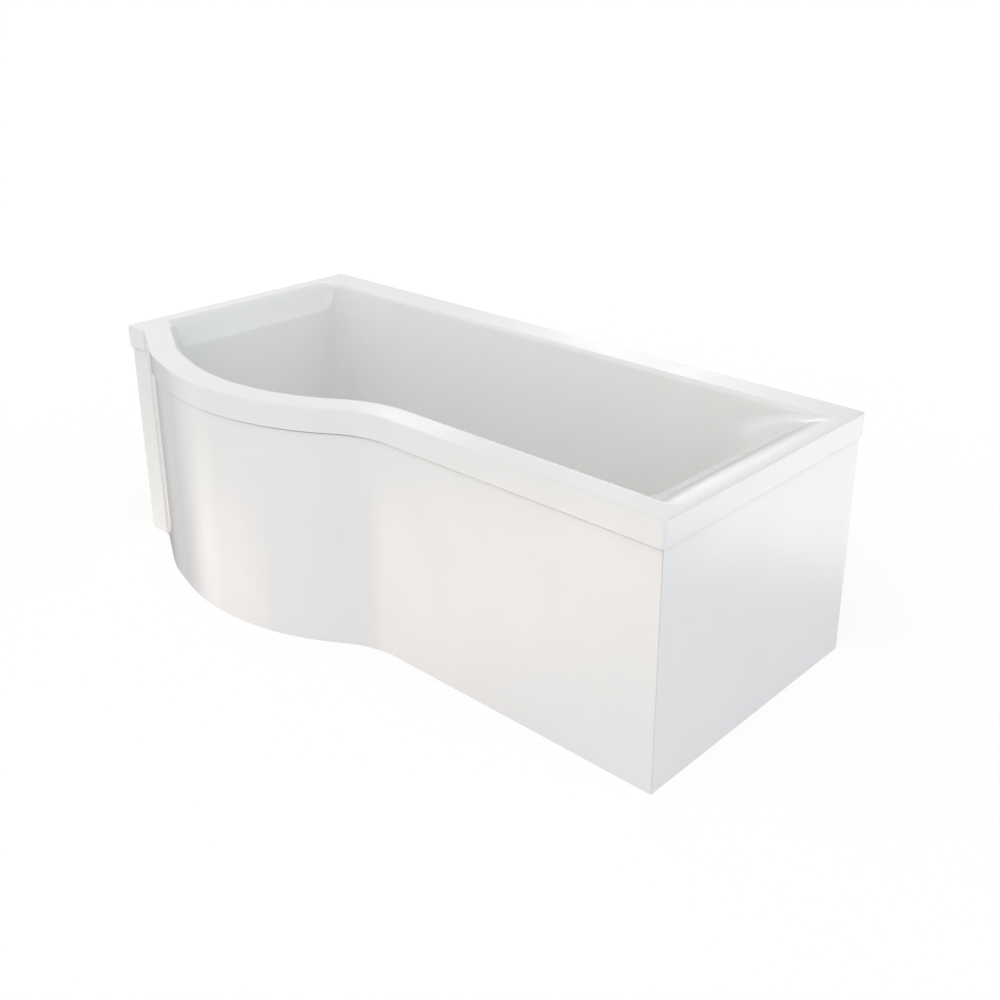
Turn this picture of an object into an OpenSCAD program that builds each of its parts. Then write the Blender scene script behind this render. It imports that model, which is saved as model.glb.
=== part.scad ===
// P shaped shower bath with a curved front panel and a flat end panel.
// +X points to the backrest end, +Y to the wall behind the bath, +Z up.
// The origin is on the floor, at the centre of the bath's plan box.

/* [Overall size] */
// Length of the rim
length = 1700; // [1600:10:1800]
// Width over the bulge at the shower end
bulge_w = 857; // [837:2:877]
// Width at the backrest end
narrow_w = 714; // [704:2:724]
// Height from the floor to the top of the rim
rim_h = 575; // [560:5:600]

/* [Plan of the bulge] */
// Crown of the bulge, from the shower end
crown_x = 520; // [500:5:540]
// Radius of the crown
crown_r = 606; // [586:2:626]
// End of the bulge, where the straight front begins, from the shower end
bulge_end_x = 990; // [970:5:1010]
// Slope of the shoulder between the crown and the short side
shoulder_angle = 15; // [12:0.5:18]
// Radius of the turn from the shoulder to the short side
shoulder_r = 450; // [300:10:500]
// Slope of the short side next to the flat strip
short_side_angle = 28; // [26:0.5:30]
// Width of the flat strip at the shower end
strip_w = 78; // [70:1:85]
// Radius of the valley between the strip and the short side
valley_r = 12; // [8:1:20]

/* [Rim] */
// Depth of the turned-down rim
skirt_h = 57; // [50:1:65]
// Radius on the outer edge of the deck
edge_r = 4; // [3:0.5:6]
// Corner radius of the rim in plan
corner_r = 7; // [7:1:12]
// Thickness of the turned-down rim
skirt_t = 6; // [5:0.5:7]
// Thickness of the deck
deck_t = 7; // [6.5:0.5:8]

/* [Tub] */
// Thickness of the moulded sheet
wall_t = 6; // [5:0.5:6]
// Depth of the tub, from the rim to its floor
tub_depth = 418; // [400:2:420]
// Deck width along the wall
deck_back = 75; // [72:1:78]
// Deck width along the front
deck_front = 61; // [60:1:64]
// Deck width at the shower end, up to the end wall
deck_shower = 74; // [72:1:78]
// Flat width of the deck at the backrest end, up to the roll
deck_rest = 15; // [12:1:18]
// Radius of the deck's inner edge
lip_r = 12; // [10:1:12]
// Corner radius of the tub at the rim
top_corner_r = 28; // [24:1:34]
// How much the corner radius at the shower end has grown at the tub floor
corner_growth = 24; // [16:2:40]
// How much the corner radius at the backrest end has grown below the roll
rest_corner_growth = 110; // [90:5:120]
// Radius of the deck's inner edge at the shower end
shower_lip_r = 9; // [8:1:10]
// Radius of the roll at the top of the backrest
rest_lip_r = 175; // [165:5:180]
// Lean of the long walls
wall_lean = 6; // [4:0.5:8]
// Lean of the shower end wall
shower_lean = 6; // [4:0.5:8]
// Lean of the backrest
rest_lean = 24; // [20:1:26]
// Radius between the walls and the tub floor
floor_r = 60; // [50:2:64]

/* [Shelf in the shower end] */
// Deck width in front of the shelf
shelf_x = 55; // [52:1:58]
// Depth of the shelf below the rim
shelf_depth = 60; // [55:1:64]
// Radius of the shelf's rising end
shelf_r = 46; // [35:1:50]

/* [Panels] */
// Distance from the rim's face in to the panels
panel_inset = 6; // [6:0.5:8]
// Thickness of the panels
panel_t = 3; // [2.5:0.5:4]
// Open gap between the rim and the panels
shadow_gap = 3; // [2:0.5:5]
// Width of the strip inside the top of the panels
flange_w = 18; // [16:1:20]

/* [Under the bath] */
// Thickness of the baseboard
board_t = 18; // [16:1:18]
// Leg rail near the shower end, from the shower end
rail_a_x = 440; // [430:5:480]
// Leg rail near the backrest, from the shower end
rail_b_x = 1240; // [1200:5:1280]
// Middle foot, from the shower end
mid_foot_x = 840; // [800:5:880]
// Height of the leg rails
rail_h = 30; // [25:1:32]
// Width of the leg rails
rail_w = 40; // [36:1:44]
// Radius of a threaded stud
stud_r = 5; // [5:1:6]
// Radius of a foot pad
pad_r = 28; // [24:1:30]

/* [Waste and overflow] */
// Waste, from the shower end
waste_x = 290; // [280:5:300]
// Waste, from the wall
waste_y = 410; // [400:5:420]
// Depth of the overflow below the rim
overflow_depth = 105; // [100:1:110]
// Radius of the drain pipe that leaves the trap
drain_r = 20; // [20:0.5:22]

/* [Hidden] */

$fn = 64;

// Faces of the plan box
shower_x = -length / 2;
rest_x = length / 2;
wall_y = bulge_w / 2;
front_y = wall_y - narrow_w;
crown_y = wall_y - bulge_w;

// Heights of the main levels
floor_top_z = rim_h - tub_depth;
board_top_z = floor_top_z - wall_t;
rail_top_z = board_top_z - board_t;
skirt_z = rim_h - skirt_h;
panel_h = skirt_z - shadow_gap;
batten_h = 22;
batten_z = rim_h - deck_t - batten_h;

// Fits and small parts
running_gap = 0.05;
nut_h = 8;
nut_r = 9.8;
screw_r = 2.5;
pad_h = 22;
web_t = 2;
steel_t = 3;

// ---- Plan outlines ----
// A side is [heading, distance of its line from the origin]. The heading turns left round the bath,
// and the distance grows inwards, so adding to it moves the side towards the middle.

function inward(heading) = [-sin(heading), cos(heading)];

function side_through(point, heading) = [heading, inward(heading) * point];

crown_centre = [shower_x + crown_x, crown_y + crown_r];

// The crown runs into the hollow at one point, so the two arcs settle the slope between them
run_out_angle = 2 * atan((bulge_w - narrow_w) / (bulge_end_x - crown_x));
hollow_r = (bulge_end_x - crown_x) / sin(run_out_angle) - crown_r;

function crown_side(heading) = [heading, inward(heading) * crown_centre - crown_r];

side_shower = side_through([shower_x, 0], -90);
side_strip = side_through([0, front_y], 0);
side_short = side_through([shower_x + strip_w, front_y], -short_side_angle);
side_shoulder = crown_side(-shoulder_angle);
side_run_out = crown_side(run_out_angle);
side_front = side_through([0, front_y], 0);
side_rest = side_through([rest_x, 0], 90);
side_wall = side_through([0, wall_y], 180);

function moved(side, d) = [side[0], side[1] + d];

function meet(a, b) =
    let(n = inward(a[0]), m = inward(b[0]), det = n.x * m.y - n.y * m.x)
    [(a[1] * m.y - b[1] * n.y) / det, (b[1] * n.x - a[1] * m.x) / det];

// Arc from side a to side b. The signed radius is negative at a hollow corner.
function fillet(a, b, r, steps, first = 0) =
    let(centre = meet(moved(a, r), moved(b, r)))
    [for (k = [first : steps]) centre - r * inward(a[0] + (b[0] - a[0]) * k / steps)];

// The same side, met again at the end of a trip round the bath
function full_turn(side) = [side[0] + 360, side[1]];

function joined(lists) = [for (one = lists) each one];

small_arc = 6;
large_arc = 10;

// Outline of the rim, moved in by d
function rim_outline(d) =
    let(
        shower = moved(side_shower, d),
        strip = moved(side_strip, d),
        short = moved(side_short, d),
        shoulder = moved(side_shoulder, d),
        run_out = moved(side_run_out, d),
        front = moved(side_front, d),
        rest = moved(side_rest, d),
        wall = moved(side_wall, d),
        r = max(corner_r - d, 1))
    joined([
        fillet(shower, strip, r, small_arc),
        fillet(strip, short, -valley_r - d, small_arc / 2),
        fillet(short, shoulder, shoulder_r - d, small_arc / 2),
        fillet(shoulder, run_out, crown_r - d, large_arc),
        fillet(run_out, front, -hollow_r - d, small_arc, 1),
        fillet(front, rest, r, small_arc),
        fillet(rest, wall, r, small_arc),
        fillet(wall, full_turn(shower), r, small_arc)]);

// Distance of a wall from the rim's face at a depth: lip, leaning wall, then the floor radius
function wall_at(depth, deck, lip, lean, bottom_r) =
    let(
        lip_end = lip * (1 - sin(lean)),
        bottom_start = tub_depth - bottom_r * (1 - sin(lean)),
        top_d = deck + lip * cos(lean),
        low_d = top_d + (bottom_start - lip_end) * tan(lean))
    depth < lip_end ? deck + sqrt(max(lip * lip - pow(lip - depth, 2), 0))
    : depth < bottom_start ? top_d + (depth - lip_end) * tan(lean)
    : low_d + bottom_r * cos(lean)
        - sqrt(max(bottom_r * bottom_r - pow(bottom_r - tub_depth + depth, 2), 0));

// Height of the roll at the top of the backrest
roll_h = rest_lip_r * (1 - sin(rest_lean));

// Outline of the tub at a depth, grown outwards by t and moved in by extra. It has a point for each
// point of the rim's outline: the corner arc by the strip is drawn in two pieces.
function tub_outline(depth, t = 0, extra = 0) =
    let(
        level = min(max(depth - t, 0), tub_depth),
        d_long = wall_at(level, deck_front, lip_r - t, wall_lean, floor_r + t) + extra,
        d_wall = wall_at(level, deck_back, lip_r - t, wall_lean, floor_r + t) + extra,
        d_shower = wall_at(level, deck_shower, shower_lip_r - t, shower_lean, floor_r + t) + extra,
        d_rest = wall_at(level, deck_rest, rest_lip_r - t, rest_lean, floor_r + t) + extra,
        corner = top_corner_r + corner_growth * level / tub_depth - t,
        rest_corner = top_corner_r + rest_corner_growth * sin(90 * min(level / roll_h, 1)) - t,
        shower = moved(side_shower, d_shower),
        short = moved(side_short, d_long),
        shoulder = moved(side_shoulder, d_long),
        run_out = moved(side_run_out, d_long),
        front = moved(side_front, d_long),
        rest = moved(side_rest, d_rest),
        wall = moved(side_wall, d_wall),
        turn = meet(moved(shower, corner), moved(short, corner)),
        split = 0.65 * (90 - short_side_angle))
    joined([
        [for (k = [0 : small_arc]) turn - corner * inward(-90 + split * k / small_arc)],
        [for (k = [0 : small_arc / 2])
            turn - corner * inward(-86 + split + (86 - short_side_angle - split) * k * 2 / small_arc)],
        fillet(short, shoulder, shoulder_r - d_long, small_arc / 2),
        fillet(shoulder, run_out, crown_r - d_long, large_arc),
        fillet(run_out, front, -hollow_r - d_long, small_arc, 1),
        fillet(front, rest, rest_corner, small_arc),
        fillet(rest, wall, rest_corner, small_arc),
        fillet(wall, full_turn(shower), corner, small_arc)]);

// ---- Solids through a stack of outlines ----

// The first and last outlines are closed by triangles that meet at one point above the tub floor
hub = [shower_x + crown_x + 200, wall_y - narrow_w / 2];

module loft(outlines, heights) {
    n = len(outlines[0]);
    top = len(outlines) - 1;
    low_hub = n * (top + 1);
    points = concat(
        [for (k = [0 : top]) for (p = outlines[k]) [p.x, p.y, heights[k]]],
        [[hub.x, hub.y, heights[0]], [hub.x, hub.y, heights[top]]]);
    walls = [for (k = [0 : top - 1]) for (i = [0 : n - 1])
        let(j = (i + 1) % n, low = k * n, high = low + n)
        each [[low + i, high + i, high + j], [low + i, high + j, low + j]]];
    caps = [for (i = [0 : n - 1])
        let(j = (i + 1) % n)
        each [[low_hub, i, j], [low_hub + 1, top * n + j, top * n + i]]];
    polyhedron(points, concat(walls, caps), convexity = 8);
}

module slab(outline, z, h) {
    translate([0, 0, z])
        linear_extrude(h)
            polygon(outline);
}

// Depths at which the tub's outline is drawn. The lip depths crowd towards the rim, where the
// backrest rolls over, and the floor depths follow the floor radius.
lip_depths = [0, 0.5, 2.5, 6, lip_r * (1 - sin(wall_lean)), 18, 30, 0.6 * roll_h, roll_h];
floor_steps = 5;
floor_lean = 10;
floor_depths = [for (k = [0 : floor_steps])
    tub_depth - floor_r * (1 - sin(floor_lean + (90 - floor_lean) * k / floor_steps))];
tub_depths = concat(lip_depths, [200], floor_depths);
outside_depths = concat([deck_t - wall_t, 5, 12, 30, 0.6 * roll_h, roll_h, 200], floor_depths);
edge_steps = 3;

// The shell as one stack of outlines: up the outside of the tub to the deck, out to the turned-down
// rim, round its lower edge, up over the outer edge, across the deck and down inside the tub
module shell_skin() {
    outside = [for (k = [len(outside_depths) - 1 : -1 : 0]) outside_depths[k]];
    edge = [for (k = [0 : edge_steps]) 90 * k / edge_steps];
    loft(
        concat(
            [for (d = outside) tub_outline(d + wall_t, wall_t)],
            [rim_outline(skirt_t), rim_outline(skirt_t), rim_outline(0)],
            [for (a = edge) rim_outline(edge_r * (1 - cos(a)))],
            [for (d = tub_depths) tub_outline(d)]),
        concat(
            [for (d = outside) rim_h - wall_t - d],
            [rim_h - deck_t, skirt_z, skirt_z],
            [for (a = edge) rim_h - edge_r * (1 - sin(a))],
            [for (d = tub_depths) rim_h - d]));
}

// ---- The shelf let into the shower end ----

shelf_back_y = wall_y - 104;
shelf_front_y = front_y + 92;
shelf_reach = deck_shower + 16 - shelf_x;

// A block through the end wall with one rounded end, grown by t, from above the rim or below the deck
module shelf_block(t, top) {
    h = shelf_depth + t;
    r = shelf_r + t;
    y0 = shelf_front_y - t;
    y1 = shelf_back_y + t;
    rise = [for (a = [0 : 15 : 90]) [y1 - r + r * sin(a), -h + r - r * cos(a)]];
    translate([shower_x + shelf_x - t, 0, rim_h])
        rotate([90, 0, 90])
            linear_extrude(shelf_reach + t)
                polygon(concat([[y0, top], [y0, -h]], rise, [[y1, top]]));
}

// The tub side of the end wall, a little inside the shell's skin
module shelf_trim() {
    x0 = shower_x + deck_shower + shower_lip_r + shelf_depth * tan(shower_lean) - 2;
    translate([x0, shelf_front_y - 20, rim_h - shelf_depth - 20])
        cube([60, shelf_back_y - shelf_front_y + 40, shelf_depth + 40]);
}

// ---- Waste and overflow positions ----

waste = [shower_x + waste_x, wall_y - waste_y];
waste_hole_r = 26;
recess_r = 40;
recess_h = 3;

// The overflow is square to the short side of the bulge, on its flat stretch
short_d = wall_at(overflow_depth, deck_front, lip_r, wall_lean, floor_r);
short_corner = meet(moved(side_short, short_d), moved(side_shower, deck_shower));
overflow_run = 92;
overflow_xy = short_corner + overflow_run * [cos(short_side_angle), -sin(short_side_angle)];
overflow_z = rim_h - overflow_depth;
overflow_hole_r = 24;
overflow_r = 34;

function turned(p) = [p.x * cos(short_side_angle) + p.y * sin(short_side_angle),
    -p.x * sin(short_side_angle) + p.y * cos(short_side_angle)];

// Where the overflow pipe drops, behind the tub wall
drop_back = 26;
overflow_out = overflow_xy + turned([0, -wall_t - drop_back]);

// Local +Z points out of the wall into the tub, and local +X runs along the wall
module at_overflow() {
    translate([overflow_xy.x, overflow_xy.y, overflow_z])
        rotate([0, 0, -short_side_angle])
            rotate([wall_lean - 90, 0, 0])
                children();
}

// ---- Shell ----

module bath_shell() color("white") {
    difference() {
        union() {
            shell_skin();
            difference() {
                shelf_block(wall_t, -wall_t);
                shelf_trim();
            }
            translate([waste.x, waste.y, board_top_z - recess_h])
                cylinder(r = recess_r + 4, h = recess_h + 1);
        }
        shelf_block(0, 5);
        translate([waste.x, waste.y, floor_top_z - recess_h])
            cylinder(r = recess_r, h = recess_h + 1);
        translate([waste.x, waste.y, board_top_z - 20])
            cylinder(r = waste_hole_r, h = 40);
        at_overflow()
            translate([0, 0, -20])
                cylinder(r = overflow_hole_r, h = 40);
    }
}

// ---- Panels ----

inner_face = panel_inset + panel_t;

// Gap between faces that meet without a bond, and between the two panels' strips at the corner
face_gap = 0.2;
strip_gap = 4;

module ring(d, t) {
    difference() {
        polygon(rim_outline(d));
        polygon(rim_outline(d + t));
    }
}

// The part of a ring that belongs to the front: all of it in front of a line, and the short return
// that turns back along the shower end
module front_part(depth, right_end) {
    intersection() {
        children();
        union() {
            translate([shower_x, crown_y])
                square([length - right_end, bulge_w - narrow_w + depth]);
            translate([shower_x, crown_y])
                square([inner_face + flange_w, bulge_w - narrow_w + inner_face + flange_w]);
        }
    }
}

module front_panel() color("white")
    linear_extrude(panel_h)
        front_part(inner_face, panel_inset)
            ring(panel_inset, panel_t);

// The strips are bonded inside the panels' top edges, and the clips hold them
module front_panel_strip() color("white")
    translate([0, 0, panel_h - panel_t])
        linear_extrude(panel_t)
            front_part(inner_face + flange_w, inner_face + flange_w + strip_gap)
                ring(inner_face, flange_w);

end_panel_y = front_y + inner_face + face_gap;
end_panel_w = wall_y - panel_inset - end_panel_y;

module end_panel() color("white")
    translate([rest_x - inner_face, end_panel_y, 0])
        cube([panel_t, end_panel_w, panel_h]);

module end_panel_strip() color("white")
    translate([rest_x - inner_face - flange_w, end_panel_y + flange_w + strip_gap, panel_h - panel_t])
        cube([flange_w, end_panel_w - flange_w - strip_gap, panel_t]);

// ---- Timber ----

module baseboard() color("burlywood") {
    difference() {
        slab(tub_outline(tub_depth, 0, 6), rail_top_z, board_t);
        translate([waste.x, waste.y, rail_top_z - 1])
            cylinder(r = recess_r + 8, h = board_t + 2);
        translate([shower_x + mid_foot_x, mid_foot_y, rail_top_z - 1])
            cylinder(r = stud_r + 3, h = board_t + 2);
        at_rail_screws()
            cylinder(r = screw_r + running_gap, h = 14);
    }
}

// How far in from the rim's face the timber starts, how far it stops short of the corners, and the
// width of each piece. The piece by the backrest is narrow, because the roll comes down beside it.
batten_in = 14;
batten_stop = 90;
batten_back_w = 46;
batten_front_w = 34;
batten_shower_w = 32;
batten_rest_w = 19;

module rim_batten_back() color("burlywood")
    difference() {
        translate([shower_x + batten_stop, wall_y - batten_in - batten_back_w, batten_z])
            cube([length - 2 * batten_stop, batten_back_w, batten_h]);
        for (x = bracket_xs)
            translate([x, bracket_screw_y, batten_z - 1])
                cylinder(r = screw_r + running_gap, h = 16);
    }

// The front piece starts past the valley at the shower end
batten_front_x = strip_w + 60;

module rim_batten_front() color("burlywood")
    translate([0, 0, batten_z])
        linear_extrude(batten_h)
            intersection() {
                ring(batten_in, batten_front_w);
                translate([shower_x + batten_front_x, crown_y])
                    square([length - batten_front_x - batten_stop,
                        bulge_w - narrow_w + batten_in + batten_front_w]);
            }

module rim_batten_shower() color("burlywood")
    translate([shower_x + batten_in, front_y + batten_stop, batten_z])
        cube([batten_shower_w, narrow_w - 2 * batten_stop, batten_h]);

module rim_batten_rest() color("burlywood")
    translate([rest_x - batten_in - batten_rest_w, front_y + batten_stop, batten_z])
        cube([batten_rest_w, narrow_w - 2 * batten_stop, batten_h]);

// Timber on the floor behind the panels
floor_batten_h = 38;
floor_batten_w = 25;
floor_batten_stop = 45;
floor_block_len = 80;

module floor_batten_front() color("burlywood")
    translate([shower_x + bulge_end_x, front_y + inner_face + face_gap, 0])
        cube([length - bulge_end_x - floor_batten_stop, floor_batten_w, floor_batten_h]);

module floor_batten_end() color("burlywood")
    translate([rest_x - inner_face - face_gap - floor_batten_w, front_y + floor_batten_stop, 0])
        cube([floor_batten_w, narrow_w - 2 * floor_batten_stop, floor_batten_h]);

module floor_block_shower() color("burlywood")
    translate([shower_x + strip_w, front_y, 0])
        rotate([0, 0, -short_side_angle])
            translate([valley_r + 4, inner_face + face_gap, 0])
                cube([floor_block_len, floor_batten_w, floor_batten_h]);

// ---- Legs ----

rail_back_y = wall_y - 98;
rail_a_front_y = wall_y - 786;
rail_b_front_y = wall_y - 630;
foot_in = 26;
mid_foot_y = wall_y - 370;

// Foot centres: shower end back and front, middle, backrest end back and front
foot_shower_back = [shower_x + rail_a_x, rail_back_y - foot_in];
foot_shower_front = [shower_x + rail_a_x, rail_a_front_y + foot_in];
foot_middle = [shower_x + mid_foot_x, mid_foot_y];
foot_rest_back = [shower_x + rail_b_x, rail_back_y - foot_in];
foot_rest_front = [shower_x + rail_b_x, rail_b_front_y + foot_in];

screw_offsets = [-225, -300, -450, -520];
hat_half = 26;
hat_flange = 22;

module at_rail_screws() {
    for (x = [rail_a_x, rail_b_x])
        for (y = screw_offsets)
            translate([shower_x + x, wall_y + y, rail_top_z])
                children();
    for (side = [-1, 1])
        translate([shower_x + mid_foot_x, mid_foot_y + side * (hat_half + hat_flange / 2), rail_top_z])
            children();
}

// A channel with its web on top, its flanges down and two holes for the studs
module leg_rail(x, front, back) {
    difference() {
        translate([x - rail_w / 2, front, rail_top_z - rail_h])
            cube([rail_w, back - front, rail_h]);
        translate([x - rail_w / 2 + web_t, front - 1, rail_top_z - rail_h - 1])
            cube([rail_w - 2 * web_t, back - front + 2, rail_h + 1 - web_t]);
        for (y = [front + foot_in, back - foot_in])
            translate([x, y, rail_top_z - 10])
                cylinder(r = stud_r + 0.5, h = 20);
        at_rail_screws()
            translate([0, 0, -web_t - 1])
                cylinder(r = screw_r + 0.3, h = web_t + 2);
    }
}

module leg_rail_shower() color("silver")
    leg_rail(shower_x + rail_a_x, rail_a_front_y, rail_back_y);

module leg_rail_rest() color("silver")
    leg_rail(shower_x + rail_b_x, rail_b_front_y, rail_back_y);

// A hat shaped bracket: two flanges on the board, two legs and a web that holds the stud
module middle_foot_bracket() color("silver")
    translate([foot_middle.x - 25, foot_middle.y, rail_top_z - rail_h])
        difference() {
            translate([0, -hat_half - hat_flange, 0])
                cube([50, 2 * (hat_half + hat_flange), rail_h]);
            for (side = [-1, 1])
                translate([-1, side * (hat_half + hat_flange / 2 + 1) - hat_flange / 2 - 1, -1])
                    cube([52, hat_flange + 2, rail_h + 1 - web_t]);
            translate([-1, -hat_half + web_t, web_t])
                cube([52, 2 * (hat_half - web_t), rail_h]);
            translate([25, 0, -1])
                cylinder(r = stud_r + 0.5, h = web_t + 2);
            for (side = [-1, 1])
                translate([25, side * (hat_half + hat_flange / 2), rail_h - web_t - 1])
                    cylinder(r = screw_r + 0.3, h = web_t + 2);
        }

module screw(head_r, head_h, shank) {
    translate([0, 0, -head_h])
        cylinder(r = head_r, h = head_h);
    cylinder(r = screw_r, h = shank);
}

module rail_screws() color("gainsboro")
    at_rail_screws()
        translate([0, 0, -web_t])
            screw(5, 3, 14);

module nut(x, y, z)
    translate([x, y, z])
        difference() {
            cylinder(r = nut_r, h = nut_h, $fn = 6);
            translate([0, 0, -1])
                cylinder(r = stud_r + running_gap, h = nut_h + 2);
        }

module lock_nuts() color("gainsboro") {
    for (p = [foot_shower_back, foot_shower_front, foot_rest_back, foot_rest_front]) {
        nut(p.x, p.y, rail_top_z);
        nut(p.x, p.y, rail_top_z - web_t - nut_h);
    }
    nut(foot_middle.x, foot_middle.y, rail_top_z - rail_h + web_t);
    nut(foot_middle.x, foot_middle.y, rail_top_z - rail_h - nut_h);
}

stud_z = 8;

module stud(p, top_z)
    translate([p.x, p.y, stud_z])
        cylinder(r = stud_r, h = top_z - stud_z);

module foot_pad(p)
    translate([p.x, p.y, 0])
        difference() {
            rotate_extrude()
                polygon([[0, 0], [pad_r, 0], [pad_r, 6], [pad_r - 2, 8], [14, 12], [11, pad_h], [0, pad_h]]);
            translate([0, 0, stud_z])
                cylinder(r = stud_r, h = pad_h);
        }

stud_top_z = rail_top_z + 30;
mid_stud_top_z = rail_top_z + 1;

module stud_shower_back() color("gainsboro") stud(foot_shower_back, stud_top_z);
module stud_shower_front() color("gainsboro") stud(foot_shower_front, stud_top_z);
module stud_middle() color("gainsboro") stud(foot_middle, mid_stud_top_z);
module stud_rest_back() color("gainsboro") stud(foot_rest_back, stud_top_z);
module stud_rest_front() color("gainsboro") stud(foot_rest_front, stud_top_z);
module pad_shower_back() color("dimgray") foot_pad(foot_shower_back);
module pad_shower_front() color("dimgray") foot_pad(foot_shower_front);
module pad_middle() color("dimgray") foot_pad(foot_middle);
module pad_rest_back() color("dimgray") foot_pad(foot_rest_back);
module pad_rest_front() color("dimgray") foot_pad(foot_rest_front);

// ---- Brackets and clips ----

bracket_xs = [-500, 500];
bracket_w = 40;
bracket_drop = 62;
bracket_reach = 40;
bracket_in = 14;
bracket_z = skirt_z - 6;
bracket_screw_y = wall_y - bracket_in - bracket_reach * 0.55;
wall_hole_r = 3;

// A stepped strip: a leg on the wall below the rim, a step in, a riser and a tongue under the batten
module wall_brackets() color("silver")
    for (x = bracket_xs)
        translate([x - bracket_w / 2, wall_y, 0])
            difference() {
                union() {
                    translate([0, -steel_t, bracket_z - bracket_drop])
                        cube([bracket_w, steel_t, bracket_drop]);
                    translate([0, -bracket_in, bracket_z - steel_t])
                        cube([bracket_w, bracket_in, steel_t]);
                    translate([0, -bracket_in, bracket_z - steel_t])
                        cube([bracket_w, steel_t, batten_z - bracket_z + steel_t]);
                    translate([0, -bracket_in - bracket_reach, batten_z - steel_t])
                        cube([bracket_w, bracket_reach + 1, steel_t]);
                }
                translate([bracket_w / 2, 1, bracket_z - bracket_drop * 0.6])
                    rotate([90, 0, 0])
                        cylinder(r = wall_hole_r, h = steel_t + 2);
                translate([bracket_w / 2, bracket_screw_y - wall_y, batten_z - steel_t - 1])
                    cylinder(r = screw_r + 0.3, h = steel_t + 2);
            }

module bracket_screws() color("gainsboro")
    for (x = bracket_xs)
        translate([x, bracket_screw_y, batten_z - steel_t])
            screw(5, 3, 17);

clip_w = 30;
clip_t = 1.5;
clip_foot = 9;
clip_tongue = 16;
clip_xs = [1060, 1330, 1580];
clip_ys = [130, 520];

// A Z shaped clip between the strip of a panel and the batten above it
module clip(x, y, turn) {
    riser = inner_face + 3 + clip_foot;
    translate([x, y, 0])
        rotate([0, 0, turn])
            translate([-clip_w / 2, 0, 0]) {
                translate([0, riser - clip_foot, panel_h])
                    cube([clip_w, clip_foot + clip_t, clip_t]);
                translate([0, riser, panel_h])
                    cube([clip_w, clip_t, batten_z - panel_h]);
                translate([0, riser, batten_z - clip_t])
                    cube([clip_w, clip_tongue, clip_t]);
            }
}

module panel_clips() color("silver") {
    for (x = clip_xs)
        clip(shower_x + x, front_y, 0);
    clip(crown_centre.x, crown_y, 0);
    for (y = clip_ys)
        clip(rest_x, front_y + y, 90);
}

// ---- Waste ----

seat_z = floor_top_z - recess_h;
flange_h = 4;
flange_r = recess_r - 3;
flange_bore_r = 17;
tail_h = 34;
thread_r = 22;
thread_gap = 0.1;
gasket_h = 2;
gasket_r = 36;

// A dished ring in the recess, with a threaded tail through the tub floor
module waste_flange() color("silver")
    translate([waste.x, waste.y, seat_z])
        rotate_extrude()
            polygon([[flange_bore_r, -tail_h], [thread_r, -tail_h], [thread_r, 0], [flange_r, 0],
                [flange_r, 1.5], [flange_r - 3, flange_h], [flange_r - 5, flange_h],
                [flange_r - 7.5, 1.2], [flange_bore_r, 1.2]]);

module waste_gasket() color("dimgray")
    translate([waste.x, waste.y, board_top_z - recess_h - gasket_h])
        difference() {
            cylinder(r = gasket_r, h = gasket_h);
            translate([0, 0, -1])
                cylinder(r = thread_r + thread_gap, h = gasket_h + 2);
        }

body_r = 30;
body_top_z = board_top_z - recess_h - gasket_h;
body_low_z = body_top_z - 52;
bridge_w = 4;
bridge_h = 8;
guide_r = 4;
inlet_z = body_top_z - 34;
inlet_r = 17;
pipe_r = 14;
inlet_len = 44;

// The overflow joins the waste body on the side towards the overflow
join_angle = atan2(overflow_out.y - waste.y, overflow_out.x - waste.x);

module waste_body() color("white")
    translate([waste.x, waste.y, 0])
        difference() {
            union() {
                translate([0, 0, body_low_z])
                    cylinder(r = body_r, h = body_top_z - body_low_z);
                translate([0, 0, body_top_z - 6])
                    cylinder(r = gasket_r, h = 6);
                translate([0, 0, inlet_z])
                    rotate([0, 90, join_angle])
                        cylinder(r = inlet_r, h = inlet_len + 20);
            }
            difference() {
                translate([0, 0, body_low_z - 1])
                    cylinder(r = thread_r + thread_gap, h = body_top_z - body_low_z + 2);
                translate([-body_r, -bridge_w / 2, body_low_z + 4])
                    cube([2 * body_r, bridge_w, bridge_h]);
                translate([0, 0, body_low_z + 4])
                    cylinder(r = 2 * guide_r, h = bridge_h);
            }
            translate([0, 0, body_low_z])
                cylinder(r = guide_r + running_gap, h = 20);
            translate([0, 0, inlet_z])
                rotate([0, 90, join_angle])
                    translate([0, 0, 15])
                        cylinder(r = pipe_r + thread_gap, h = inlet_len + 20);
        }

waste_nut_h = 14;

module waste_nut() color("white")
    translate([waste.x, waste.y, body_low_z - waste_nut_h])
        difference() {
            cylinder(r = body_r - 1, h = waste_nut_h);
            translate([0, 0, -1])
                cylinder(r = body_r - 6, h = waste_nut_h + 2);
        }

stem_drop = 8;
plug_r = 27.5;

// A domed cap on the seat, a boss in the bore and a stem in the body's guide
module waste_plug() color("silver")
    translate([waste.x, waste.y, 0]) {
        translate([0, 0, seat_z])
            rotate_extrude()
                polygon([[0, -5], [flange_bore_r - 2, -5], [flange_bore_r - 1, 1.5], [plug_r - 0.5, 1.5],
                    [plug_r, 3.5], [plug_r - 2.5, 5.5], [12, 6.6], [0, 7]]);
        translate([0, 0, body_low_z - stem_drop])
            cylinder(r = guide_r, h = seat_z - body_low_z + stem_drop - 4);
    }

trap_r = 34;
trap_tube_r = 20;
trap_wall = 3;
trap_low_z = 22;
trap_drop = 20;
drain_z = 48;
drain_len = 170;
collar_r = drain_r + 4;
collar_len = 40;

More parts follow.
